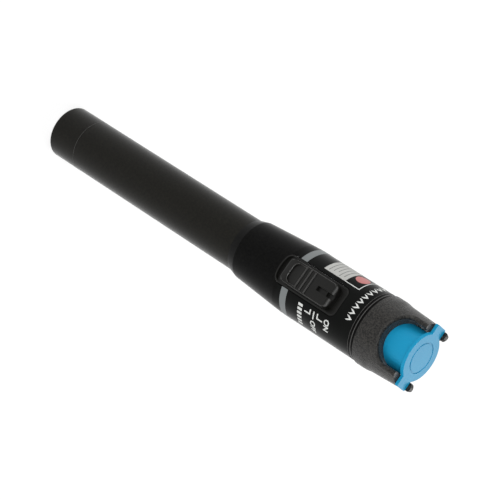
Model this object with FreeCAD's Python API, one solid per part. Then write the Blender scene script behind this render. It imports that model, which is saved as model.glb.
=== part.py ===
import FreeCAD, Part
import math
import os

# Pen-type visual fault locator, in millimetres.
# The origin is the middle of the tail's flat end, +Z runs along the pen to the nose,
# the thumb slider faces -Y and the two prongs of the nose stand at -X and +X.

V = FreeCAD.Vector
Z_AXIS = V(0, 0, 1)

# ---- cells and battery tube ----
cell_r = 7.1
cell_length = 50.5
cell_nub_r = 2.75
cell_nub_height = 1.2
cell_edge_round = 0.7
cell_clearance = 0.4
tube_wall = 2.5
tail_spigot_wall = 1.47
spigot_end_gap = 2.2
front_spigot_wall = 1.9

# ---- tail cap, its contact and spring ----
cap_length = 13.6
cap_floor = 2.6
cap_edge_round = 0.8
thread_clearance = 0.08
seam_gap = 0.1
plate_thickness = 0.8
plate_boss_r = 2.6
plate_boss_height = 1.0
spring_height = 7.6
spring_wire_r = 0.45
spring_mean_r = 4.6
spring_turns = 5.0
seal_wire_r = 0.45
seal_clearance = 0.05
seal_setback = 1.8

# ---- front contact ----
contact_r = 3.5
contact_height = 1.0
contact_board_thickness = 1.6
seat_step = 1.5

# ---- head shell ----
head_wall = 1.7
head_overlap = 17.6
cone_length = 24.1
head_rear_lip = 0.15
head_chamfer_length = 3.5
head_chamfer_rise = 1.15
head_front_bevel = 0.15
head_front_bevel_length = 1.3
head_fit = 0.05
film_thickness = 0.12
film_rear_margin = 1.8
film_front_margin = 2.3
film_window_margin = 0.35

# ---- switch recess, tray and slider ----
recess_offset = 5.3
recess_width = 10.9
recess_length = 28.7
recess_corner_r = 2.4
recess_end_bulge = 0.5
recess_front_margin = 10.2
recess_depth = 1.7
tray_wall = 0.45
tray_floor = 1.0
tray_fit = 0.05
tray_flange = 1.5
tray_flange_thickness = 0.9
slider_gap = 0.4
slider_length = 22.0
slider_travel = 1.9
slider_proud = 1.6
slider_lip = 0.6
slider_rear_drop = 0.3
slider_rear_run = 2.4
slider_front_drop = 1.1
slider_front_run = 1.7
slider_end_bow = 0.2
slider_edge_round = 0.4
slider_underside_gap = 0.15
slider_corner_r = 2.0
dish_r = 8.5
dish_depth = 0.35
dish_middle = 4.4
dish_side_rim = 0.7
dish_rear_rim = 3.0
dish_corner_r = 2.2
rib_count = 3
rib_pitch = 2.05
rib_r = 0.5
rib_sink = 0.1
rib_first = 7.6
groove_width = 1.7
groove_depth = 1.2
groove_length = 7.0
notch_length = 2.5
notch_depth = 1.3
notch_web = 0.4
stem_width = 3.2
stem_length = 5.0
stem_gap = 0.3
barb_reach = 0.8
barb_thickness = 0.7
barb_clearance = 0.2
lever_width = 1.5
lever_length = 2.0
lever_slot_depth = 1.0

# ---- circuit board and what it carries ----
board_offset = 3.0
board_thickness = 1.2
board_edge_gap = 0.5
board_front_gap = 1.4
switch_case_width = 6.0
switch_case_length = 12.0
switch_case_gap = 1.7
carrier_clearance = 0.2
carrier_wall = 2.0
carrier_end = 3.0
carrier_notch_width = 9.0
carrier_notch_depth = 5.5
screw_r = 0.8
screw_head_r = 1.4
screw_head_height = 0.9
screw_length = 3.6
screw_fit = 0.05
screw_x = 6.5
chip_side = 4.0
chip_height = 1.2
coil_r = 2.0
coil_height = 2.4
coil_x = 3.6
capacitor_r = 1.5
capacitor_height = 3.2
capacitor_x = 3.3
capacitor_pitch = 3.6
trimmer_side = 3.2
trimmer_height = 1.6
trimmer_gap = 0.05
dial_r = 1.1
dial_height = 0.4
dial_slot_width = 0.4
dial_slot_depth = 0.25

# ---- laser unit ----
holder_r = 5.5
holder_length = 16.8
holder_rear_wall = 0.5
diode_flange_r = 2.8
diode_flange_height = 1.2
diode_can_r = 2.3
diode_can_height = 2.5
diode_fit = 0.05
diode_pin_r = 0.23
diode_pin_circle = 1.0
diode_pin_length = 3.0
beam_r = 1.8
lens_r = 3.2
lens_thickness = 2.0
lens_bulge = 0.6
lens_ring_height = 1.2
lens_ring_hole_r = 2.4

# ---- ferrule adapter ----
ferrule_r = 1.25
sleeve_wall = 0.35
sleeve_length = 13.0
sleeve_fit = 0.03
sleeve_slit = 0.4
adapter_r = 5.0
adapter_proud = 9.0
adapter_lip = 0.8
adapter_mouth = 0.6
adapter_port_relief = 0.15
stop_hole_r = 0.8
adapter_flange_r = 6.6
adapter_flange_height = 1.4
adapter_tail_r = 4.2
adapter_tail_length = 5.2

# ---- nose shell ----
nose_step = 0.45
nose_length = 17.7
nose_band = 3.8
nose_bevel_length = 2.0
nose_bevel = 0.4
nose_blend_r = 10.0
nose_taper = 0.6
nose_spigot_length = 5.6
nose_spigot_wall = 1.8
nose_fit = 0.1
nose_web = 3.0
pocket_depth = 11.9
pocket_gap = 0.15
prong_thickness = 3.65
arch_height = 4.2
arch_side_height = 5.1
arch_lip = 1.0
edge_search = 0.5
lug_height = 2.6
lug_crown = 0.9
lug_depth = 1.8
lug_inset = 0.15
lug_gap = 0.15

# ---- dust cap ----
dust_fit = 0.1
dust_wall = 3.1
dust_floor_gap = 0.4
dust_seat_gap = 0.3
dust_face_height = 3.9
flange_lip = 0.9
flange_thickness = 1.1
flange_round = 0.3
ear_half_width = 3.1
ear_overhang = 0.05
ear_corner = 0.5
ring_r = 5.6
ring_width = 0.5
ring_depth = 0.2

# ---- radii that follow ----
bore_r = cell_r + cell_clearance
body_r = bore_r + tube_wall
tail_spigot_r = bore_r + tail_spigot_wall
cap_bore_r = tail_spigot_r + thread_clearance
front_spigot_r = bore_r + front_spigot_wall
cavity_r = front_spigot_r + seat_step
head_r = cavity_r + head_wall
head_rear_r = body_r + head_rear_lip
head_chamfer_r = body_r + head_chamfer_rise
nose_r = head_r + nose_step
nose_tip_r = nose_r - nose_bevel - nose_taper
nose_spigot_r = cavity_r - nose_fit
arch_half_width = nose_tip_r - prong_thickness
sleeve_r = ferrule_r + sleeve_wall
dust_bore_r = adapter_r + dust_fit
dust_barrel_r = dust_bore_r + dust_wall
pocket_r = dust_barrel_r + pocket_gap
flange_r = dust_barrel_r + flange_lip

# ---- places along Z that follow, from the tail up ----
z_spring = cap_floor + plate_thickness
z_rear_cell = z_spring + spring_height
z_front_cell = z_rear_cell + cell_length
z_contact = z_front_cell + cell_length
z_tube_front = z_contact + contact_height
z_board_rear = z_tube_front + contact_board_thickness
z_tail_spigot = z_spring + spigot_end_gap
z_head_rear = z_tube_front - head_overlap
z_cone_end = z_head_rear + cone_length
z_recess_rear = z_tube_front + recess_offset
z_recess_front = z_recess_rear + recess_length
z_switch = (z_recess_rear + z_recess_front) / 2
z_seam = z_recess_front + recess_front_margin
z_shoulder = z_seam + nose_length
z_pocket_floor = z_shoulder - pocket_depth
z_web_rear = z_pocket_floor - nose_web
z_adapter_front = z_pocket_floor + adapter_proud
z_adapter_flange = z_web_rear - adapter_flange_height
z_adapter_rear = z_adapter_flange - adapter_tail_length
z_holder_rear = z_adapter_flange - holder_length
z_board_front = z_holder_rear - board_front_gap
z_nose_rear = z_seam - nose_spigot_length
z_sleeve_front = z_adapter_front - adapter_lip
z_sleeve_rear = z_sleeve_front - sleeve_length
z_dust_top = z_adapter_front + dust_seat_gap + dust_face_height

# ---- depths from the axis towards the slider (along -Y) that follow ----
depth_board_face = board_offset + board_thickness
depth_tray_floor = head_r - recess_depth
depth_tray_under = depth_tray_floor - tray_floor
depth_case_top = depth_tray_under - switch_case_gap
depth_slider_base = depth_tray_floor + slider_underside_gap
depth_slider_top = head_r + slider_proud
slider_width = recess_width - 2 * (tray_fit + tray_wall + slider_gap)
z_slider_rear = z_switch - slider_length / 2
z_slider_front = z_switch + slider_length / 2

# how far a cutting tool runs past the solid it cuts, and the short form of it
BEYOND = 5.0
PAST = 1.0


def cylinder(radius, low, high, x=0.0, y=0.0):
    return Part.makeCylinder(radius, high - low, V(x, y, low), Z_AXIS)


def ring(outer, inner, low, high):
    return cylinder(outer, low, high).cut(cylinder(inner, low - PAST, high + PAST))


def block(x_low, x_high, y_low, y_high, z_low, z_high):
    size = (x_high - x_low, y_high - y_low, z_high - z_low)
    return Part.makeBox(size[0], size[1], size[2], V(x_low, y_low, z_low))


def revolve(points):
    """Turn a closed outline of (radius, z) points about Z."""
    corners = [V(r, 0, z) for r, z in points]
    face = Part.Face(Part.makePolygon(corners + corners[:1]))
    return face.revolve(V(0, 0, 0), Z_AXIS, 360)


def torus(mean_r, wire_r, z):
    return Part.makeTorus(mean_r, wire_r, V(0, 0, z), Z_AXIS)


def edges_along(shape, direction):
    """The straight edges that run along one direction."""
    found = []
    for edge in shape.Edges:
        if not isinstance(edge.Curve, Part.Line):
            continue
        run = edge.Vertexes[-1].Point - edge.Vertexes[0].Point
        if run.cross(direction).Length < 1e-6:
            found.append(edge)
    return found


def circles_at(shape, heights):
    """The level circles of a turned shape at the given heights."""
    found = []
    for edge in shape.Edges:
        z = edge.Vertexes[0].Point.z
        if isinstance(edge.Curve, Part.Circle) and min(abs(z - height) for height in heights) < 1e-6:
            found.append(edge)
    return found


def pad(width, z_low, z_high, corner_r, bulge, depth_low, depth_high):
    """A plate facing -Y: straight sides, slightly bowed ends, rounded corners."""
    half = width / 2
    y = -depth_high
    rear = [V(-half, y, z_low + bulge), V(0, y, z_low), V(half, y, z_low + bulge)]
    front = [V(half, y, z_high - bulge), V(0, y, z_high), V(-half, y, z_high - bulge)]
    edges = [
        Part.Arc(*rear).toShape(),
        Part.LineSegment(rear[2], front[0]).toShape(),
        Part.Arc(*front).toShape(),
        Part.LineSegment(front[2], rear[0]).toShape(),
    ]
    plate = Part.Face(Part.Wire(edges)).extrude(V(0, depth_high - depth_low, 0))
    return plate.makeFillet(corner_r, edges_along(plate, V(0, 1, 0)))


def tail_cap():
    edge = cap_edge_round
    shell = cylinder(body_r, 0, cap_length - seam_gap)
    tail_edge = [e for e in shell.Edges if e.BoundBox.ZMax < 1e-6]
    shell = shell.makeFillet(edge, tail_edge)
    return shell.cut(cylinder(cap_bore_r, cap_floor, cap_length + BEYOND))


def tail_contact_plate():
    disc = cylinder(cap_bore_r, cap_floor, z_spring)
    boss = cylinder(plate_boss_r, cap_floor, z_spring + plate_boss_height)
    return disc.fuse(boss).removeSplitter()


def tail_spring():
    low = z_spring + spring_wire_r
    rise = spring_height - 2 * spring_wire_r
    helix = Part.makeHelix(rise / spring_turns, rise, spring_mean_r)
    start = helix.Edges[0].Vertexes[0].Point
    circle = Part.Circle(start, V(0, 1, 0), spring_wire_r).toShape()
    wire = Part.Wire(helix.Edges).makePipeShell([Part.Wire(circle)], True, True)
    wire.translate(V(0, 0, low))
    return wire


def seal_mean_r(bore):
    return bore - seal_clearance - seal_wire_r


def tail_seal_ring():
    return torus(seal_mean_r(cap_bore_r), seal_wire_r, cap_length - seal_setback)


def seal_groove(bore, z):
    half = seal_wire_r + seal_clearance
    return ring(bore + PAST, seal_mean_r(bore) - half, z - half, z + half)


def battery_tube():
    tube = cylinder(body_r, cap_length, z_head_rear)
    tube = tube.fuse(cylinder(tail_spigot_r, z_tail_spigot, cap_length))
    tube = tube.fuse(cylinder(front_spigot_r, z_head_rear, z_tube_front))
    tube = tube.cut(cylinder(bore_r, z_tail_spigot - PAST, z_tube_front + PAST))
    return tube.cut(seal_groove(cap_bore_r, cap_length - seal_setback))


def cell(z_low):
    z_can = z_low + cell_length - cell_nub_height
    can = cylinder(cell_r, z_low, z_can)
    rims = [e for e in can.Edges if isinstance(e.Curve, Part.Circle)]
    can = can.makeFillet(cell_edge_round, rims)
    return can.fuse(cylinder(cell_nub_r, z_can, z_low + cell_length))


def front_contact():
    return cylinder(contact_r, z_contact, z_tube_front)


def contact_board():
    return cylinder(cavity_r - carrier_clearance, z_tube_front, z_board_rear)


def recess_pad(margin, depth_low, depth_high):
    return pad(
        recess_width + 2 * margin,
        z_recess_rear - margin,
        z_recess_front + margin,
        recess_corner_r + margin,
        recess_end_bulge,
        depth_low,
        depth_high,
    )


def head_shell():
    shell = revolve([
        (0, z_head_rear),
        (head_rear_r, z_head_rear),
        (head_chamfer_r, z_head_rear + head_chamfer_length),
        (head_r, z_cone_end),
        (head_r, z_seam - head_front_bevel_length),
        (head_r - head_front_bevel, z_seam),
        (0, z_seam),
    ])
    shell = shell.cut(cylinder(front_spigot_r + head_fit, z_head_rear - PAST, z_tube_front))
    shell = shell.cut(cylinder(cavity_r, z_tube_front, z_seam + PAST))
    return shell.cut(recess_pad(0, cavity_r - head_wall, head_r + BEYOND))


def label_wrap():
    film = ring(
        head_r + film_thickness,
        head_r,
        z_cone_end + film_rear_margin,
        z_seam - film_front_margin,
    )
    return film.cut(recess_pad(film_window_margin, cavity_r - head_wall, head_r + BEYOND))


def switch_tray():
    plug = recess_pad(-tray_fit, depth_tray_under, head_r + PAST)
    plug = plug.common(cylinder(head_r, z_recess_rear - PAST, z_recess_front + PAST))
    half = recess_width / 2 + tray_flange
    flange_r_out = cavity_r - tray_fit
    flange = ring(
        flange_r_out,
        flange_r_out - tray_flange_thickness,
        z_recess_rear - tray_flange,
        z_recess_front + tray_flange,
    )
    front_half = block(
        -half, half, -cavity_r, 0, z_recess_rear - BEYOND, z_recess_front + BEYOND
    )
    tray = plug.fuse(flange.common(front_half))
    tray = tray.cut(recess_pad(-tray_fit - tray_wall, depth_tray_floor, head_r + BEYOND))
    slot_half = stem_length / 2 + slider_travel + stem_gap
    slot = block(
        -stem_width / 2 - stem_gap,
        stem_width / 2 + stem_gap,
        -depth_tray_floor - PAST,
        -depth_tray_under + PAST,
        z_switch - slot_half,
        z_switch + slot_half,
    )
    relief_x = stem_width / 2 + 2 * stem_gap + barb_reach
    relief_z = slot_half + stem_gap
    relief = block(
        -relief_x, relief_x, -depth_tray_under, 0, z_switch - relief_z, z_switch + relief_z
    )
    return tray.cut(slot).cut(relief)


def bowed(start, end):
    """An arc over the slider's end that stands off its chord towards the outside."""
    chord = end - start
    out = V(0, -chord.z, chord.y).normalize()
    middle = (start + end) * 0.5 + out * slider_end_bow
    return Part.Arc(start, middle, end).toShape()


def slider_side_profile():
    """The slider seen from the side: raised rear lip, long top, rounded front."""
    top = -depth_slider_top
    lip = top - slider_lip
    base = -depth_slider_base
    rear = z_slider_rear
    front = z_slider_front
    lip_low = V(0, top + slider_rear_drop, rear)
    lip_top = V(0, lip, rear + slider_rear_run)
    lip_end = V(0, top, rear + rib_first - rib_r)
    front_top = V(0, top, front - slider_front_run)
    front_low = V(0, top + slider_front_drop, front)
    edges = [
        Part.LineSegment(V(0, base, rear), lip_low).toShape(),
        bowed(lip_low, lip_top),
        Part.LineSegment(lip_top, lip_end).toShape(),
        Part.LineSegment(lip_end, front_top).toShape(),
        bowed(front_top, front_low),
        Part.LineSegment(front_low, V(0, base, front)).toShape(),
        Part.LineSegment(V(0, base, front), V(0, base, rear)).toShape(),
    ]
    return Part.Face(Part.Wire(edges))


def slider_shoulders(body):
    """The long edges between the slider's sides and its top."""
    found = []
    for edge in body.Edges:
        middle = edge.valueAt((edge.FirstParameter + edge.LastParameter) / 2)
        ends = [vertex.Point.z for vertex in edge.Vertexes]
        runs_along = abs(ends[0] - ends[-1]) > slider_edge_round
        on_side = abs(middle.x) > slider_width / 2 - slider_edge_round
        if on_side and runs_along and middle.y < -head_r:
            found.append(edge)
    return found


def slider_ribs():
    half = slider_width / 2 - slider_edge_round
    ribs = []
    for index in range(rib_count):
        z = z_slider_rear + rib_first + index * rib_pitch
        start = V(-half, -depth_slider_top + rib_sink, z)
        ribs.append(Part.makeCylinder(rib_r, 2 * half, start, V(1, 0, 0)))
    return ribs


def slider_dish():
    """A scoop for the thumb inside a thin rim; its floor runs out at the first rib."""
    half = slider_width / 2
    start = V(-half, -depth_slider_top + dish_depth - dish_r, z_slider_rear + dish_middle)
    scoop = Part.makeCylinder(dish_r, slider_width, start, V(1, 0, 0))
    plan = pad(
        slider_width - 2 * dish_side_rim,
        z_slider_rear + dish_rear_rim,
        z_slider_rear + dish_middle + dish_r,
        dish_corner_r,
        recess_end_bulge,
        depth_slider_base,
        depth_slider_top + BEYOND,
    )
    behind = block(
        -half, half, -depth_slider_top - BEYOND, 0, z_slider_rear, z_slider_rear + rib_first - rib_r
    )
    return scoop.common(plan).common(behind)


def switch_slider():
    body = slider_side_profile().extrude(V(slider_width, 0, 0))
    body.translate(V(-slider_width / 2, 0, 0))
    body = body.makeFillet(slider_edge_round, slider_shoulders(body))
    plan = pad(
        slider_width,
        z_slider_rear,
        z_slider_front,
        slider_corner_r,
        recess_end_bulge,
        depth_slider_base,
        depth_slider_top + BEYOND,
    )
    body = body.common(plan).fuse(slider_ribs())
    body = body.cut(slider_dish()).cut(slider_groove())
    return body.fuse(slider_stem()).cut(lever_space()).removeSplitter()


def slider_groove():
    half = groove_width / 2
    top = -depth_slider_top
    front = z_slider_front + PAST
    notch_rear = z_slider_front - notch_length
    shallow = block(
        -half,
        half,
        top - PAST,
        top + groove_depth,
        z_slider_front - groove_length,
        notch_rear - notch_web,
    )
    deep = block(-half, half, top - PAST, top + notch_depth, notch_rear, front)
    return shallow.fuse(deep)


def stem_end_depth():
    return depth_tray_under - barb_clearance - barb_thickness


def slider_stem():
    half = stem_width / 2
    z_low = z_switch - stem_length / 2
    z_high = z_switch + stem_length / 2
    stem_end = -stem_end_depth()
    stem = block(-half, half, -depth_slider_base - PAST, stem_end, z_low, z_high)
    reach = half + stem_gap + barb_reach
    barb = block(-reach, reach, stem_end - barb_thickness, stem_end, z_low, z_high)
    return stem.fuse(barb)


def lever_space():
    half_x = lever_width / 2
    half_z = lever_length / 2
    return block(
        -half_x, half_x, -depth_tray_floor, 0, z_switch - half_z, z_switch + half_z
    )


def switch_lever():
    foot = depth_case_top - lever_slot_depth + barb_clearance
    half_x = lever_width / 2
    half_z = lever_length / 2
    return block(
        -half_x, half_x, -depth_tray_floor, -foot, z_switch - half_z, z_switch + half_z
    )


def slide_switch_case():
    half = switch_case_width / 2
    case = block(
        -half,
        half,
        -depth_case_top,
        -depth_board_face,
        z_switch - switch_case_length / 2,
        z_switch + switch_case_length / 2,
    )
    slot_x = lever_width / 2 + stem_gap
    slot_z = lever_length / 2 + slider_travel + stem_gap
    slot = block(
        -slot_x,
        slot_x,
        -depth_case_top - PAST,
        -depth_case_top + lever_slot_depth,
        z_switch - slot_z,
        z_switch + slot_z,
    )
    return case.cut(slot)


def board_half_width():
    return math.sqrt(cavity_r ** 2 - depth_board_face ** 2) - board_edge_gap


def screw_places():
    rear = z_board_rear + carrier_end / 2
    front = z_board_front - carrier_end / 2
    return [(x, z) for x in (-screw_x, screw_x) for z in (rear, front)]


def screw_holes():
    """Cylinders along Y through the board and into the carrier, with running room."""
    radius = screw_r + screw_fit
    holes = []
    for x, z in screw_places():
        start = V(x, -depth_board_face - PAST, z)
        length = board_thickness + PAST + screw_length
        holes.append(Part.makeCylinder(radius, length, start, V(0, 1, 0)))
    return holes


def circuit_board():
    half = board_half_width()
    board = block(
        -half, half, -depth_board_face, -board_offset, z_board_rear, z_board_front
    )
    for hole in screw_holes():
        board = board.cut(hole)
    return board


def board_carrier():
    outer = cavity_r - carrier_clearance
    trough = cylinder(outer, z_board_rear, z_board_front)
    inside = cylinder(
        outer - carrier_wall, z_board_rear + carrier_end, z_board_front - carrier_end
    )
    trough = trough.cut(inside)
    trough = trough.cut(block(
        -outer, outer, -outer, -board_offset, z_board_rear - PAST, z_board_front + PAST
    ))
    notch = block(
        -carrier_notch_width / 2,
        carrier_notch_width / 2,
        -board_offset - PAST,
        -board_offset + carrier_notch_depth,
        z_board_front - carrier_end - PAST,
        z_board_front + PAST,
    )
    trough = trough.cut(notch)
    for hole in screw_holes():
        trough = trough.cut(hole)
    return trough


def board_screws():
    screws = []
    for x, z in screw_places():
        head = Part.makeCylinder(
            screw_head_r,
            screw_head_height,
            V(x, -depth_board_face - screw_head_height, z),
            V(0, 1, 0),
        )
        length = board_thickness + screw_length - screw_r
        shank = Part.makeCylinder(screw_r, length, V(x, -depth_board_face, z), V(0, 1, 0))
        screws.append(head.fuse(shank))
    return Part.makeCompound(screws)


def driver_chip():
    half = chip_side / 2
    z = z_board_rear + carrier_end + chip_side
    return block(-half, half, -board_offset, -board_offset + chip_height, z - half, z + half)


def power_coil():
    z = z_switch - coil_r
    start = V(-coil_x, -board_offset, z)
    return Part.makeCylinder(coil_r, coil_height, start, V(0, 1, 0))


def capacitors():
    pieces = []
    for offset in (0, capacitor_pitch):
        start = V(capacitor_x, -board_offset, z_switch - coil_r + offset)
        pieces.append(Part.makeCylinder(capacitor_r, capacitor_height, start, V(0, 1, 0)))
    return Part.makeCompound(pieces)


def trim_potentiometer():
    half = trimmer_side / 2
    x = -coil_x
    z = z_board_front - carrier_end - trimmer_gap - half
    top = -board_offset + trimmer_height
    body = block(x - half, x + half, -board_offset, top, z - half, z + half)
    dial = Part.makeCylinder(dial_r, dial_height, V(x, top, z), V(0, 1, 0))
    slot = block(
        x - half,
        x + half,
        top + dial_height - dial_slot_depth,
        top + dial_height + PAST,
        z - dial_slot_width / 2,
        z + dial_slot_width / 2,
    )
    return body.fuse(dial).cut(slot)


def laser_holder():
    z_front = z_adapter_flange
    z_lens = z_adapter_rear - lens_ring_height - lens_thickness
    z_flange = z_holder_rear + holder_rear_wall + diode_flange_height
    holder = cylinder(holder_r, z_holder_rear, z_front)
    holder = holder.cut(cylinder(diode_flange_r + diode_fit, z_holder_rear - PAST, z_flange))
    holder = holder.cut(cylinder(diode_can_r + diode_fit, z_flange, z_diode_can_top()))
    holder = holder.cut(cylinder(beam_r, z_flange, z_front))
    holder = holder.cut(cylinder(lens_r + diode_fit, z_lens, z_front))
    return holder.cut(cylinder(adapter_tail_r + head_fit, z_lens + lens_thickness, z_front + PAST))


def z_diode_flange():
    return z_holder_rear + holder_rear_wall


def z_diode_can_top():
    return z_diode_flange() + diode_flange_height + diode_can_height + diode_fit


def laser_diode():
    low = z_diode_flange()
    flange = cylinder(diode_flange_r, low, low + diode_flange_height)
    can = cylinder(diode_can_r, low, z_diode_can_top() - diode_fit)
    diode = flange.fuse(can)
    places = [
        (-diode_pin_circle, 0),
        (0, -diode_pin_circle),
        (diode_pin_circle, 0),
    ]
    z_bend = low - diode_pin_length
    for x, y in places:
        straight = cylinder(diode_pin_r, z_bend, low, x, y)
        knee = Part.makeSphere(diode_pin_r, V(x, y, z_bend))
        drop = Part.makeCylinder(diode_pin_r, y + board_offset, V(x, y, z_bend), V(0, -1, 0))
        diode = diode.fuse([straight, knee, drop])
    return diode.removeSplitter()


def focus_lens():
    low = z_adapter_rear - lens_ring_height - lens_thickness
    rim = lens_thickness - lens_bulge
    disc = cylinder(lens_r, low, low + rim)
    dome_r = (lens_r ** 2 + lens_bulge ** 2) / (2 * lens_bulge)
    dome = Part.makeSphere(dome_r, V(0, 0, low + lens_thickness - dome_r))
    return disc.fuse(dome.common(cylinder(lens_r, low + rim, low + lens_thickness)))


def lens_ring():
    return ring(
        adapter_tail_r,
        lens_ring_hole_r,
        z_adapter_rear - lens_ring_height,
        z_adapter_rear,
    )


def adapter_body():
    body = revolve([
        (0, z_adapter_rear),
        (adapter_tail_r, z_adapter_rear),
        (adapter_tail_r, z_adapter_flange),
        (adapter_flange_r, z_adapter_flange),
        (adapter_flange_r, z_web_rear),
        (adapter_r, z_web_rear),
        (adapter_r, z_adapter_front - adapter_mouth),
        (adapter_r - adapter_mouth, z_adapter_front),
        (0, z_adapter_front),
    ])
    port_r = ferrule_r + adapter_port_relief
    mouth_r = port_r + adapter_mouth
    mouth = Part.makeCone(port_r, mouth_r, adapter_lip, V(0, 0, z_sleeve_front), Z_AXIS)
    body = body.cut(cylinder(sleeve_r + sleeve_fit, z_sleeve_rear, z_sleeve_front))
    body = body.cut(mouth)
    return body.cut(cylinder(stop_hole_r, z_adapter_rear - PAST, z_sleeve_rear + PAST))


def ceramic_sleeve():
    sleeve = ring(sleeve_r, ferrule_r, z_sleeve_rear, z_sleeve_front)
    half = sleeve_slit / 2
    low = z_sleeve_rear - PAST
    high = z_sleeve_front + PAST
    slit = block(0, sleeve_r + PAST, -half, half, low, high)
    return sleeve.cut(slit)


def arch_cutter():
    """The opening seen along Y: half an ellipse below, straight sides above."""
    centre = V(0, -nose_r - BEYOND, z_shoulder - arch_side_height)
    right = centre + V(arch_half_width, 0, 0)
    left = centre - V(arch_half_width, 0, 0)
    bottom = centre - V(0, 0, arch_height)
    up = V(0, 0, arch_side_height + BEYOND)
    ellipse = Part.Ellipse(right, bottom, centre)
    edges = [
        Part.ArcOfEllipse(ellipse, 0, math.pi).toShape(),
        Part.LineSegment(left, left + up).toShape(),
        Part.LineSegment(left + up, right + up).toShape(),
        Part.LineSegment(right + up, right).toShape(),
    ]
    return Part.Face(Part.Wire(edges)).extrude(V(0, 2 * (nose_r + BEYOND), 0))


def arch_outer_edges(shape):
    """The edges where the arch meets the outside of the nose, front and back."""
    found = []
    low = z_shoulder - arch_side_height - arch_height - edge_search
    high = z_shoulder - edge_search / 2
    for edge in shape.Edges:
        middle = edge.valueAt((edge.FirstParameter + edge.LastParameter) / 2)
        outside = math.hypot(middle.x, middle.y) > nose_tip_r - edge_search
        if outside and low < middle.z < high and abs(middle.y) > edge_search:
            found.append(edge)
    return found


def lug(side):
    """The rounded end of a prong behind the dust cap's ear."""
    inner = side * (arch_half_width + lug_inset)
    outer = side * nose_tip_r
    middle = (inner + outer) / 2
    top = z_shoulder + lug_height
    spring_line = top - lug_crown
    y = ear_half_width + lug_gap
    foot = z_shoulder - PAST
    edges = [
        Part.LineSegment(V(inner, y, foot), V(inner, y, spring_line)).toShape(),
        Part.Arc(V(inner, y, spring_line), V(middle, y, top), V(outer, y, spring_line)).toShape(),
        Part.LineSegment(V(outer, y, spring_line), V(outer, y, foot)).toShape(),
        Part.LineSegment(V(outer, y, foot), V(inner, y, foot)).toShape(),
    ]
    piece = Part.Face(Part.Wire(edges)).extrude(V(0, lug_depth, 0))
    return piece.common(cylinder(nose_tip_r, foot, top + PAST))


def nose_shell():
    z_band = z_seam + nose_band
    z_taper = z_band + nose_bevel_length
    shell = revolve([
        (0, z_nose_rear),
        (nose_spigot_r, z_nose_rear),
        (nose_spigot_r, z_seam),
        (nose_r, z_seam),
        (nose_r, z_band),
        (nose_r - nose_bevel, z_taper),
        (nose_tip_r, z_shoulder),
        (0, z_shoulder),
    ])
    shell = shell.makeFillet(nose_blend_r, circles_at(shell, (z_band, z_taper)))
    shell = shell.cut(cylinder(pocket_r, z_pocket_floor, z_shoulder + PAST))
    shell = shell.cut(arch_cutter())
    shell = shell.makeFillet(arch_lip, arch_outer_edges(shell))
    shell = shell.cut(cylinder(nose_spigot_r - nose_spigot_wall, z_nose_rear - PAST, z_web_rear))
    shell = shell.cut(cylinder(adapter_r + head_fit, z_web_rear - PAST, z_pocket_floor + PAST))
    shell = shell.cut(seal_groove(cavity_r, z_nose_seal()))
    for side in (-1, 1):
        shell = shell.fuse(lug(side))
    return shell.removeSplitter()


def z_nose_seal():
    return z_seam - seal_setback


def nose_seal_ring():
    return torus(seal_mean_r(cavity_r), seal_wire_r, z_nose_seal())


def ear(side):
    """A flat tab of the dust cap's flange that lies over the end of a prong."""
    start = side * (dust_barrel_r - PAST)
    stop = side * (nose_tip_r + ear_overhang)
    half = ear_half_width
    low = z_dust_top - flange_thickness
    tab = block(min(start, stop), max(start, stop), -half, half, low, z_dust_top)
    return tab.makeFillet(ear_corner, edges_along(tab, Z_AXIS))


def dust_cap():
    z_rear = z_pocket_floor + dust_floor_gap
    z_flange = z_dust_top - flange_thickness
    soft = flange_round
    cap = revolve([
        (0, z_rear),
        (dust_barrel_r, z_rear),
        (dust_barrel_r, z_flange),
        (flange_r, z_flange),
        (flange_r, z_dust_top - soft),
        (flange_r - soft, z_dust_top),
        (0, z_dust_top),
    ])
    for side in (-1, 1):
        cap = cap.fuse(ear(side))
    cap = cap.cut(cylinder(dust_bore_r, z_rear - PAST, z_adapter_front + dust_seat_gap))
    half = ring_width / 2
    circle = ring(ring_r + half, ring_r - half, z_dust_top - ring_depth, z_dust_top + PAST)
    return cap.cut(circle).removeSplitter()


def build():
    parts = {
        "tail_cap": tail_cap(),
        "tail_contact_plate": tail_contact_plate(),
        "tail_spring": tail_spring(),
        "tail_seal_ring": tail_seal_ring(),
        "battery_tube": battery_tube(),
        "rear_cell": cell(z_rear_cell),
        "front_cell": cell(z_front_cell),
        "front_contact": front_contact(),
        "contact_board": contact_board(),
        "head_shell": head_shell(),
        "label_wrap": label_wrap(),
        "switch_tray": switch_tray(),
        "switch_slider": switch_slider(),
        "switch_lever": switch_lever(),
        "slide_switch_case": slide_switch_case(),
        "circuit_board": circuit_board(),
        "board_carrier": board_carrier(),
        "board_screws": board_screws(),
        "driver_chip": driver_chip(),
        "power_coil": power_coil(),
        "capacitors": capacitors(),
        "trim_potentiometer": trim_potentiometer(),
        "laser_holder": laser_holder(),
        "laser_diode": laser_diode(),
        "focus_lens": focus_lens(),
        "lens_ring": lens_ring(),
        "adapter_body": adapter_body(),
        "ceramic_sleeve": ceramic_sleeve(),
        "nose_shell": nose_shell(),
        "nose_seal_ring": nose_seal_ring(),
        "dust_cap": dust_cap(),
    }
    os.makedirs("parts", exist_ok=True)
    for name, shape in parts.items():
        solids = len(shape.Solids)
        print(name, "solids", solids, "valid", shape.isValid(), "volume", round(shape.Volume, 1))
        shape.exportStep("parts/" + name + ".step")


build()
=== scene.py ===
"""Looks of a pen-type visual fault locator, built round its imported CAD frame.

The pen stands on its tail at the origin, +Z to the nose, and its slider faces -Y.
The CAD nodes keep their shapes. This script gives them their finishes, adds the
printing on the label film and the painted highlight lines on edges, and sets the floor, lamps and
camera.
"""

import math

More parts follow.
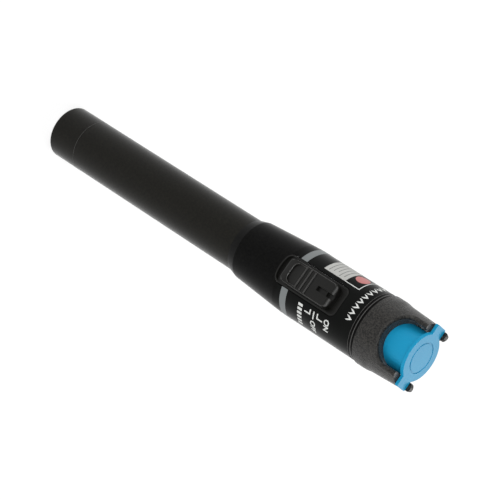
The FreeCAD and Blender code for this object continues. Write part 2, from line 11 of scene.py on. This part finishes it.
import bmesh
import bpy
from mathutils import Matrix, Vector
from mathutils.bvhtree import BVHTree


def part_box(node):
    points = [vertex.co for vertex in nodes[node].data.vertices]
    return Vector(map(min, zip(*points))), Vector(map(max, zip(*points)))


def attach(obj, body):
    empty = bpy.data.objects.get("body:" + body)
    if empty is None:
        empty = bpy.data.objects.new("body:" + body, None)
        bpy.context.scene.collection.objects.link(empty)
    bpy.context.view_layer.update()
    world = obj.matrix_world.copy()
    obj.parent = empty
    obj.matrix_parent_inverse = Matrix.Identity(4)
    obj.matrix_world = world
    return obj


MM = 0.001
MICRON = 1e-6

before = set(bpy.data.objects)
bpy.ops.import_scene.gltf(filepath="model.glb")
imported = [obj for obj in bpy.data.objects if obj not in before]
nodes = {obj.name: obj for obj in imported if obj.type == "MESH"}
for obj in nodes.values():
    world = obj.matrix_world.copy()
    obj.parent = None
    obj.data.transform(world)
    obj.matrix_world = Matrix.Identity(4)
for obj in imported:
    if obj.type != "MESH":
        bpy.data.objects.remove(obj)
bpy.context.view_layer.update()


# ---- sizes read from the frame, in metres ----
def low(node, axis):
    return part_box(node)[0][axis]


def high(node, axis):
    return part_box(node)[1][axis]


FILM_R = high("label_wrap", 0)
FILM_REAR = low("label_wrap", 2)
FILM_FRONT = high("label_wrap", 2)
HEAD_R = high("head_shell", 0)
SEAM = high("head_shell", 2)
SLIDER_HALF = (high("switch_slider", 0) - low("switch_slider", 0)) / 2
SLIDER_TOP = low("switch_slider", 1)
SLIDER_REAR = low("switch_slider", 2)
SLIDER_FRONT = high("switch_slider", 2)
SLIDER_MID = (SLIDER_REAR + SLIDER_FRONT) / 2
TRAY_HALF = SLIDER_HALF + 0.9 * MM
CAP_R = high("tail_cap", 0)
CAP_FRONT = high("tail_cap", 2)
TOP = high("nose_shell", 2)


# ---- material helpers ----
SHEEN_ROUGHNESS = 0.35


def new_material(name):
    material = bpy.data.materials.new(name)
    material.use_nodes = True
    return material


def shader_of(material):
    return material.node_tree.nodes["Principled BSDF"]


def add_node(material, kind, **values):
    node = material.node_tree.nodes.new(kind)
    for key, value in values.items():
        node.inputs[key.replace("_", " ")].default_value = value
    return node


def link(material, source, target):
    material.node_tree.links.new(source, target)


def noise(material, scale, detail=4.0, roughness=0.6):
    """Noise in the object's own metres, so that its grain keeps one real size."""
    coordinates = add_node(material, "ShaderNodeTexCoord")
    texture = add_node(
        material, "ShaderNodeTexNoise", Scale=scale, Detail=detail, Roughness=roughness)
    link(material, coordinates.outputs["Object"], texture.inputs["Vector"])
    return texture.outputs["Fac"]


def ramp(material, source, dark, light, start, end):
    """Turns a value into a colour, dark up to start and light from end on."""
    blend = add_node(material, "ShaderNodeValToRGB")
    blend.color_ramp.elements[0].position = start
    blend.color_ramp.elements[1].position = end
    blend.color_ramp.elements[0].color = (*dark, 1)
    blend.color_ramp.elements[1].color = (*light, 1)
    link(material, source, blend.inputs["Fac"])
    return blend.outputs["Color"]


def remap(material, source, out_low, out_high):
    """Spreads a value from 0 to 1 over another range."""
    span = add_node(material, "ShaderNodeMapRange", To_Min=out_low, To_Max=out_high)
    link(material, source, span.inputs["Value"])
    return span.outputs["Result"]


def bump(material, source, height):
    """Raises the surface by up to a height in metres."""
    node = add_node(material, "ShaderNodeBump", Strength=1.0, Distance=height)
    link(material, source, node.inputs["Height"])
    link(material, node.outputs["Normal"], shader_of(material).inputs["Normal"])


def surface(
        name, dark, light, rough, grain, relief, metallic=0.0, specular=0.5, mottle=60.0,
        sheen=0.0, spread=0.2):
    """A finish with mottled colour, varied roughness and a fine raised grain.

    dark and light are the two colours, rough the lowest and highest roughness. grain
    is the number of bumps to a metre and relief their height in metres. mottle is the
    number of colour spots to a metre, and spread how far they run from one colour to
    the other: the less, the harder the spots.
    """
    material = new_material(name)
    shader = shader_of(material)
    shader.inputs["Metallic"].default_value = metallic
    shader.inputs["Specular IOR Level"].default_value = specular
    shader.inputs["Sheen Weight"].default_value = sheen
    shader.inputs["Sheen Roughness"].default_value = SHEEN_ROUGHNESS
    broad = noise(material, mottle)
    fine = noise(material, grain, detail=2.0)
    mixed = ramp(material, broad, dark, light, 0.5 - spread, 0.5 + spread)
    link(material, mixed, shader.inputs["Base Color"])
    link(material, remap(material, fine, *rough), shader.inputs["Roughness"])
    bump(material, fine, relief)
    return material


def dress(node, material):
    """Gives a CAD node its finish, in every one of its material slots."""
    for place in nodes[node].material_slots:
        place.material = material


# ---- finishes ----
def make_finishes():
    """Every finish by its short name."""
    return {
        "tube": surface(
            "satin_black_anodised", (0.0025, 0.0022, 0.0013), (0.0085, 0.0078, 0.0052),
            (0.26, 0.38), 2600, 6 * MICRON, specular=0.115, mottle=1300.0, sheen=0.3),
        "head": surface(
            "matt_black_anodised", (0.0005, 0.0005, 0.0005), (0.0045, 0.0045, 0.0042),
            (0.24, 0.36), 2600, 6 * MICRON, specular=0.035, mottle=1300.0, sheen=0.25),
        "film": surface(
            "satin_label_film", (0.0025, 0.0028, 0.0026), (0.0055, 0.006, 0.0055),
            (0.24, 0.34), 2600, 2 * MICRON, specular=0.035, sheen=0.3),
        "nose": surface(
            "textured_nose_plastic", (0.0005, 0.0005, 0.0003), (0.03, 0.028, 0.025),
            (0.3, 0.44), 1900, 220 * MICRON, specular=0.26, mottle=1900.0, sheen=0.15, spread=0.1),
        "switch": surface(
            "satin_switch_plastic", (0.003, 0.003, 0.0025), (0.006, 0.0059, 0.005),
            (0.34, 0.44), 4200, 5 * MICRON, specular=0.22),
        "blue": surface(
            "blue_cap_rubber", (0.006, 0.255, 0.46), (0.01, 0.29, 0.51),
            (0.38, 0.5), 3200, 5 * MICRON, specular=0.2),
        "seal": surface(
            "black_seal_rubber", (0.01, 0.01, 0.01), (0.02, 0.02, 0.02),
            (0.4, 0.55), 3000, 4 * MICRON),
        "steel": surface(
            "bright_steel", (0.5, 0.5, 0.52), (0.66, 0.66, 0.68),
            (0.18, 0.3), 6000, 1 * MICRON, metallic=1.0),
        "brass": surface(
            "turned_brass", (0.62, 0.42, 0.14), (0.76, 0.56, 0.24),
            (0.2, 0.34), 6000, 1 * MICRON, metallic=1.0),
        "nickel": surface(
            "nickel_plate", (0.6, 0.58, 0.53), (0.7, 0.68, 0.63),
            (0.14, 0.24), 5000, 1 * MICRON, metallic=1.0),
        "ceramic": surface(
            "white_ceramic", (0.82, 0.81, 0.78), (0.9, 0.89, 0.86), (0.12, 0.2), 4000, 1 * MICRON),
        "board": surface(
            "green_board", (0.01, 0.12, 0.045), (0.015, 0.17, 0.06),
            (0.25, 0.35), 3000, 3 * MICRON),
        "package": surface(
            "black_component", (0.012, 0.012, 0.013), (0.03, 0.03, 0.032),
            (0.4, 0.6), 5000, 4 * MICRON),
        "cell": surface(
            "grey_cell_sleeve", (0.34, 0.35, 0.37), (0.4, 0.41, 0.43),
            (0.25, 0.35), 2000, 2 * MICRON),
        "glass": surface(
            "lens_glass", (0.85, 0.9, 0.92), (0.9, 0.94, 0.96), (0.02, 0.05), 2000, 0.1 * MICRON),
        "white_ink": surface(
            "white_ink", (0.62, 0.63, 0.61), (0.72, 0.73, 0.71), (0.38, 0.5), 5000, 2 * MICRON),
        "grey_ink": surface(
            "grey_ink", (0.15, 0.163, 0.165), (0.175, 0.19, 0.192), (0.4, 0.5), 5000, 2 * MICRON),
        "pale_ink": surface(
            "pale_ink", (0.42, 0.42, 0.4), (0.48, 0.48, 0.46), (0.4, 0.5), 5000, 2 * MICRON),
        "rule_ink": surface(
            "rule_ink", (0.13, 0.135, 0.13), (0.18, 0.185, 0.18), (0.4, 0.5), 5000, 2 * MICRON),
        "red_ink": surface(
            "red_ink", (0.45, 0.14, 0.135), (0.56, 0.21, 0.2), (0.38, 0.5), 5000, 2 * MICRON),
        # painted highlight: a lighter grey for the thin lines that stand in for glints on edges,
        # ribs and rims
        "painted_highlight": surface(
            "painted_highlight", (0.035, 0.034, 0.032), (0.075, 0.073, 0.068),
            (0.25, 0.4), 4000, 3 * MICRON),
    }


NODE_FINISH = {
    "tail_cap": "tube", "battery_tube": "tube", "head_shell": "head",
    "label_wrap": "film", "switch_tray": "switch", "switch_slider": "switch", "nose_shell": "nose",
    "dust_cap": "blue", "tail_seal_ring": "seal", "nose_seal_ring": "seal", "tail_spring": "steel",
    "slide_switch_case": "steel", "board_screws": "steel", "tail_contact_plate": "brass",
    "front_contact": "brass", "laser_holder": "brass", "lens_ring": "brass", "laser_diode": "brass",
    "adapter_body": "nickel", "ceramic_sleeve": "ceramic", "contact_board": "board",
    "circuit_board": "board", "board_carrier": "package", "driver_chip": "package",
    "power_coil": "package", "capacitors": "package", "trim_potentiometer": "package",
    "switch_lever": "package", "rear_cell": "cell", "front_cell": "cell", "focus_lens": "glass",
}

finishes = make_finishes()
for node_name, finish_name in NODE_FINISH.items():
    dress(node_name, finishes[finish_name])


# ---- printing on the film: flat outlines wrapped round the pen ----
INK = 0.03 * MM           # thickness of a layer of ink
INK_SINK = 0.9            # how far the first layer starts inside the film, in layers
STEP = math.radians(2.5)  # widest facet round the pen
JOIN = 1e-7               # distance at which points count as one


def wrap(name, outlines, finish, layer=1):
    """Wraps flat outlines round the film as one thin printed piece.

    An outline is a list of (angle in degrees, height in metres). The angle is 0 at the
    slider and grows towards +X.
    """
    sheet = bmesh.new()
    for outline in outlines:
        corners = [sheet.verts.new((math.radians(a), 0, z)) for a, z in outline]
        sheet.faces.new(corners)
    bend(sheet, name, finish, layer)


def bend(sheet, name, finish, layer):
    """Cuts a flat sheet into narrow strips, rolls it round the pen and gives it thickness."""
    angles = [v.co.x for v in sheet.verts]
    first = math.floor(min(angles) / STEP)
    last = math.ceil(max(angles) / STEP)
    for index in range(first, last + 1):
        everything = sheet.verts[:] + sheet.edges[:] + sheet.faces[:]
        bmesh.ops.bisect_plane(
            sheet, geom=everything, plane_co=(index * STEP, 0, 0), plane_no=(1, 0, 0), dist=JOIN)
    radius = FILM_R + (layer - INK_SINK) * INK
    grown = bmesh.ops.extrude_face_region(sheet, geom=sheet.faces[:], use_keep_orig=True)
    raised = {part for part in grown["geom"] if isinstance(part, bmesh.types.BMVert)}
    for vertex in sheet.verts:
        angle, height = vertex.co.x, vertex.co.z
        r = radius + (INK if vertex in raised else 0)
        vertex.co = Vector((r * math.sin(angle), -r * math.cos(angle), height))
    bmesh.ops.recalc_face_normals(sheet, faces=sheet.faces)
    finish_piece(sheet, name, finish, "housing")


def finish_piece(work, name, finish, body):
    """Makes a piece of a worked mesh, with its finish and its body."""
    mesh = bpy.data.meshes.new(name)
    work.to_mesh(mesh)
    work.free()
    piece = bpy.data.objects.new(name, mesh)
    bpy.context.scene.collection.objects.link(piece)
    mesh.materials.append(finishes[finish])
    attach(piece, body)


def bar(a0, a1, z0, z1):
    """The outline of a bar between two angles and two heights."""
    return [(a0, z0), (a1, z0), (a1, z1), (a0, z1)]


def degrees_wide(length):
    """The angle that a length along the film's surface takes."""
    return math.degrees(length / FILM_R)


def grey_ring():
    """The broad ring round the rear of the film, open where the slider's tray is."""
    gap = 0.25 * MM
    margin = 1.9 * MM
    width = 2.8 * MM
    edge = math.degrees(math.asin(TRAY_HALF / FILM_R)) + degrees_wide(gap)
    rear = FILM_REAR + margin
    wrap("grey_ring", [bar(edge, 360 - edge, rear, rear + width)], "grey_ink")


def switch_marks():
    """Three leader lines beside the slider, one for each of its places."""
    line = 0.5 * MM
    reach = degrees_wide(line)
    middle = SLIDER_MID + 6.2 * MM
    travel = 1.9 * MM
    leg = 2.2 * MM
    near = 33.2
    elbow = 42.5
    overrun = 4.5
    low_line = middle - travel
    high_line = middle + travel
    outlines = [
        bar(near, elbow, low_line, low_line + line),
        bar(elbow - reach, elbow, low_line - leg, low_line),
        bar(near, elbow + overrun, middle - line / 2, middle + line / 2),
        bar(near, elbow, high_line - line, high_line),
        bar(elbow - reach, elbow, high_line, high_line + leg),
    ]
    wrap("switch_marks", outlines, "white_ink")


def word(name, text, size, angle, z):
    """A short plain word, its first letter at an angle and its foot at a height."""
    boldness = 0.03
    curve = bpy.data.curves.new(name, "FONT")
    curve.body = text
    curve.size = size
    curve.offset = size * boldness
    source = bpy.data.objects.new(name + "_flat", curve)
    bpy.context.scene.collection.objects.link(source)
    bpy.context.view_layer.update()
    flat = bpy.data.meshes.new_from_object(source)
    bpy.data.objects.remove(source)
    bpy.data.curves.remove(curve)
    sheet = bmesh.new()
    sheet.from_mesh(flat)
    bpy.data.meshes.remove(flat)
    bmesh.ops.remove_doubles(sheet, verts=sheet.verts, dist=JOIN)
    for vertex in sheet.verts:
        x, y = vertex.co.x, vertex.co.y
        vertex.co = Vector((math.radians(angle) + x / FILM_R, 0, z + y))
    bend(sheet, name, "white_ink", 1)


def switch_words():
    """The words at the middle and the front place of the slider."""
    size = 3.0 * MM
    word("word_off", "OFF", size, 50.0, SLIDER_MID + 5.2 * MM)
    word("word_on", "ON", size, 33.0, SLIDER_MID + 11.1 * MM)


def pulse_sign():
    """A row of short bars beside the blinking place of the slider."""
    count = 6
    near = 33.5
    pitch = 7.4
    width = 4.6
    height = 2.0 * MM
    z = SLIDER_MID - 1.0 * MM
    starts = [near + index * pitch for index in range(count)]
    wrap("pulse_sign", [bar(start, start + width, z, z + height) for start in starts], "white_ink")


def label_panel():
    """A pale blank field with thin rules, and the framed place beside it."""
    a_near, a_far = -79.0, -34.0
    rear = SLIDER_MID - 0.3 * MM
    middle = rear + 9.5 * MM
    front = rear + 15.9 * MM
    wrap("label_field", [bar(a_near, a_far, rear, middle)], "pale_ink")

    rule_count = 5
    first_rule = 1.5 * MM
    rule_pitch = 1.55 * MM
    rule_width = 0.3 * MM
    margin = 3
    rules = []
    for index in range(rule_count):
        z = rear + first_rule + index * rule_pitch
        shorter = (index % 3) * margin
        rules.append(bar(a_near + margin, a_far - margin - shorter, z, z + rule_width))
    wrap("label_rules", rules, "rule_ink", layer=2)

    thin = 0.32 * MM
    side = degrees_wide(thin)
    frame_lines = [
        bar(a_near, a_near + side, middle, front),
        bar(a_far - side, a_far, middle, front),
        bar(a_near + side, a_far - side, front - thin, front),
    ]
    wrap("label_frame", frame_lines, "white_ink")
    disc_sign((a_near + a_far) / 2 - margin, (middle + front) / 2)


def disc_sign(angle, z):
    """A plain red disc."""
    radius = 2.6 * MM
    count = 40
    turns = [2 * math.pi * index / count for index in range(count)]
    outline = [
        (angle + math.degrees(radius / FILM_R * math.cos(turn)), z + radius * math.sin(turn))
        for turn in turns
    ]
    wrap("label_disc", [outline], "red_ink")


def chevron_row():
    """Plain arrowheads round the front of the film, all pointing to the nose."""
    count = 20
    first = 12.0
    pitch = 10.4
    half = 3.8
    height = 2.6 * MM
    arm = 1.05 * MM
    foot = FILM_FRONT - 4.0 * MM
    tip = foot + height
    outlines = []
    for index in range(count):
        middle = first - index * pitch
        near = middle - half
        far = middle + half
        outlines.append([(near, foot), (near, foot + arm), (middle, tip), (middle, tip - arm)])
        outlines.append([(middle, tip - arm), (middle, tip), (far, foot + arm), (far, foot)])
    wrap("chevron_row", outlines, "white_ink")


# ---- thin painted highlight lines along edges, standing in for their glints ----
def highlight_ring(name, radius, z_low, width, body):
    """A thin closed ring over a round edge, a painted highlight standing in for the edge's glint.
    """
    count = 120
    sink = 0.05 * MM
    proud = 0.02 * MM
    section = [
        (radius - sink, z_low), (radius + proud, z_low),
        (radius + proud, z_low + width), (radius - sink, z_low + width)]
    work = bmesh.new()
    loops = []
    for index in range(count):
        turn = 2 * math.pi * index / count
        loops.append([
            work.verts.new((r * math.sin(turn), -r * math.cos(turn), z)) for r, z in section])
    for here, there in zip(loops, loops[1:] + loops[:1]):
        join_loops(work, here, there)
    bmesh.ops.recalc_face_normals(work, faces=work.faces)
    finish_piece(work, name, "painted_highlight", body)


def join_loops(work, here, there):
    """Faces from one loop of four points to the next."""
    for side in range(4):
        after = (side + 1) % 4
        work.faces.new((here[side], here[after], there[after], there[side]))


def highlight_rings():
    """Painted highlight rings at the nose joint, the film's front edge and the tail cap's seam."""
    rim_setback = 1.42 * MM
    rim_width = 0.26 * MM
    edge_setback = 0.1 * MM
    edge_width = 0.12 * MM
    seam_width = 0.14 * MM
    highlight_ring(
        "head_rim_highlight", HEAD_R, SEAM - rim_setback, rim_width, "housing")
    highlight_ring(
        "film_edge_highlight", FILM_R, FILM_FRONT - edge_setback, edge_width, "housing")
    highlight_ring(
        "cap_seam_highlight", CAP_R, CAP_FRONT - seam_width, seam_width, "tail_closure")


def rib_highlights():
    """Thin painted highlight lines along the crests of the slider's three ribs."""
    count = 3
    first = 7.6 * MM
    pitch = 2.05 * MM
    length = 2 * (SLIDER_HALF - 0.5 * MM)
    thickness = 0.1 * MM
    width = 0.192 * MM
    rounding = 0.03 * MM
    depth = 0.15 * MM
    for index in range(count):
        z = SLIDER_REAR + first + pitch * index
        work = bmesh.new()
        bmesh.ops.create_cube(work, size=1.0)
        bmesh.ops.scale(work, vec=(length, thickness, width), verts=work.verts)
        bmesh.ops.translate(work, vec=(0, SLIDER_TOP + depth, z), verts=work.verts)
        bmesh.ops.bevel(
            work, geom=work.edges[:], offset=rounding, segments=2, affect="EDGES", profile=0.5)
        finish_piece(work, "rib_highlight_" + str(index + 1), "painted_highlight", "slider")


def corner(x, z, radius, first, last):
    """Points of an arc about (x, z), from one angle to another, in degrees from +X to +Z."""
    steps = 8
    turns = [math.radians(first + (last - first) * i / steps) for i in range(steps + 1)]
    return [(x + radius * math.cos(turn), z + radius * math.sin(turn)) for turn in turns]


def highlight_line(name, outline, width):
    """A thin painted highlight line that follows the slider's face through (x, z) points."""
    height = 0.05 * MM
    outside = SLIDER_TOP - 1 * MM
    skin = bmesh.new()
    skin.from_mesh(nodes["switch_slider"].data)
    tree = BVHTree.FromBMesh(skin)
    skin.free()
    inward = Vector((0, 1, 0))
    track = [tree.ray_cast(Vector((x, outside, z)), inward)[0] for x, z in outline]
    out = -height * inward
    work = bmesh.new()
    loops = []
    for index, point in enumerate(track):
        before = track[max(index - 1, 0)]
        after = track[min(index + 1, len(track) - 1)]
        across = (after - before).cross(out).normalized() * width / 2
        loops.append([
            work.verts.new(point + step) for step in (across, out, -across, -out)])
    for here, there in zip(loops, loops[1:]):
        join_loops(work, here, there)
    work.faces.new(loops[0])
    work.faces.new(loops[-1])
    bmesh.ops.recalc_face_normals(work, faces=work.faces)
    finish_piece(work, name, "painted_highlight", "slider")


def slider_highlights():
    """Painted highlight lines along the slider's two long edges."""
    width = 0.14 * MM
    end_margin = 0.75 * MM
    half = SLIDER_HALF - 0.22 * MM
    rear = SLIDER_REAR + end_margin
    front = SLIDER_FRONT - end_margin
    turn = 1.8 * MM
    steps = 24
    side = corner(half - turn, rear + turn, turn, -60, 0)
    side += [(half, rear + (front - rear) * i / steps) for i in range(4, steps - 3)]
    side += corner(half - turn, front - turn, turn, 0, 60)
    highlight_line("slider_highlight_right", side, width)
    highlight_line("slider_highlight_left", [(-x, z) for x, z in side], width)


def scoop_highlight():
    """A painted highlight line round the rear rim of the slider's scoop."""
    width = 0.16 * MM
    half = SLIDER_HALF - 0.78 * MM
    rear = SLIDER_REAR + 2.85 * MM
    turn = 2.2 * MM
    straight = 2.2 * MM
    rim = [(half, rear + turn + straight)]
    rim += corner(half - turn, rear + turn, turn, 0, -80)
    rim += [(-x, z) for x, z in reversed(rim)]
    highlight_line("scoop_highlight", rim, width)


# painted highlight lines on the round edges, the ribs, the slider's edges and the scoop's rim
highlight_rings()
rib_highlights()
slider_highlights()
scoop_highlight()
grey_ring()
switch_marks()
switch_words()
pulse_sign()
label_panel()
chevron_row()


# ---- floor, world and lamps ----
def make_floor():
    """A pale floor that shows white to the camera and in reflections, and keeps shadows."""
    half = 3.0
    grey = 0.3
    glow = 0.75
    corners = [(-half, -half, 0), (half, -half, 0), (half, half, 0), (-half, half, 0)]
    mesh = bpy.data.meshes.new("floor")
    mesh.from_pydata(corners, [], [(0, 1, 2, 3)])
    floor = bpy.data.objects.new("floor", mesh)
    bpy.context.scene.collection.objects.link(floor)
    material = new_material("pale_floor")
    shader = shader_of(material)
    shader.inputs["Base Color"].default_value = (grey, grey, grey, 1)
    shader.inputs["Roughness"].default_value = 0.9
    shader.inputs["Specular IOR Level"].default_value = 0.0
    path = add_node(material, "ShaderNodeLightPath")
    seen = path.outputs["Is Camera Ray"]
    for ray in ("Is Glossy Ray", "Is Transmission Ray"):
        either = add_node(material, "ShaderNodeMath")
        either.operation = "MAXIMUM"
        link(material, seen, either.inputs[0])
        link(material, path.outputs[ray], either.inputs[1])
        seen = either.outputs["Value"]
    link(material, seen, shader.inputs["Emission Strength"])
    shader.inputs["Emission Color"].default_value = (glow, glow, glow, 1)
    mesh.materials.append(material)


def make_world():
    """An even white light from all round."""
    world = bpy.data.worlds.new("studio")
    world.use_nodes = True
    background = world.node_tree.nodes["Background"]
    background.inputs["Color"].default_value = (1, 1, 1, 1)
    background.inputs["Strength"].default_value = 0.3
    bpy.context.scene.world = world


def lamp(name, place, target, size, power):
    """A rectangular lamp at a place, turned to a target, with its power in watts."""
    light = bpy.data.lights.new(name, "AREA")
    light.shape = "RECTANGLE"
    light.size, light.size_y = size
    light.energy = power
    holder = bpy.data.objects.new(name, light)
    holder.location = place
    aim = Vector(target) - Vector(place)
    holder.rotation_euler = aim.to_track_quat("-Z", "Y").to_euler()
    bpy.context.scene.collection.objects.link(holder)


def make_lamps():
    """Soft boxes at both sides, in front and behind, all turned to the pen's middle."""
    mid = (0, 0, TOP * 0.6)
    lamp("left_softbox", (-0.8, -0.2, 0.28), mid, (0.7, 0.5), 3.5)
    lamp("right_softbox", (0.8, -0.2, 0.28), mid, (0.7, 0.5), 3.5)
    lamp("front_softbox", (0, -0.75, 0.65), mid, (0.3, 0.3), 5)
    lamp("back_softbox", (0, 0.92, 0.78), mid, (0.55, 0.55), 6)


# ---- camera, at the photograph's angle ----
def make_camera():
    """The pen runs from the upper left to the lower right, its nose towards the camera.

    lean is the angle between the line of sight and the pen, swing how far the camera
    stands towards +X, and along the pen's direction in the picture, to the right and down.
    """
    lean = math.radians(56.5)
    swing = math.radians(3.5)
    distance = 0.716
    along = (0.8402, 0.5422)
    target = Vector((0.67 * MM, 0, 96.7 * MM))
    flat = math.cos(lean)
    pen = Vector((-flat * math.sin(swing), flat * math.cos(swing), math.sin(lean)))
    side = Vector((math.cos(swing), math.sin(swing), 0))
    right = along[0] * pen - along[1] * side
    up = -along[1] * pen - along[0] * side
    back = right.cross(up)
    camera_data = bpy.data.cameras.new("camera")
    camera_data.sensor_width = 36.0
    camera_data.lens = 148.0
    camera = bpy.data.objects.new("camera", camera_data)
    turn = Matrix((right, up, back)).transposed()
    camera.matrix_world = Matrix.Translation(target + distance * back) @ turn.to_4x4()
    bpy.context.scene.collection.objects.link(camera)
    bpy.context.scene.camera = camera


make_floor()
make_world()
make_lamps()
make_camera()
bpy.context.scene.view_settings.view_transform = "Standard"
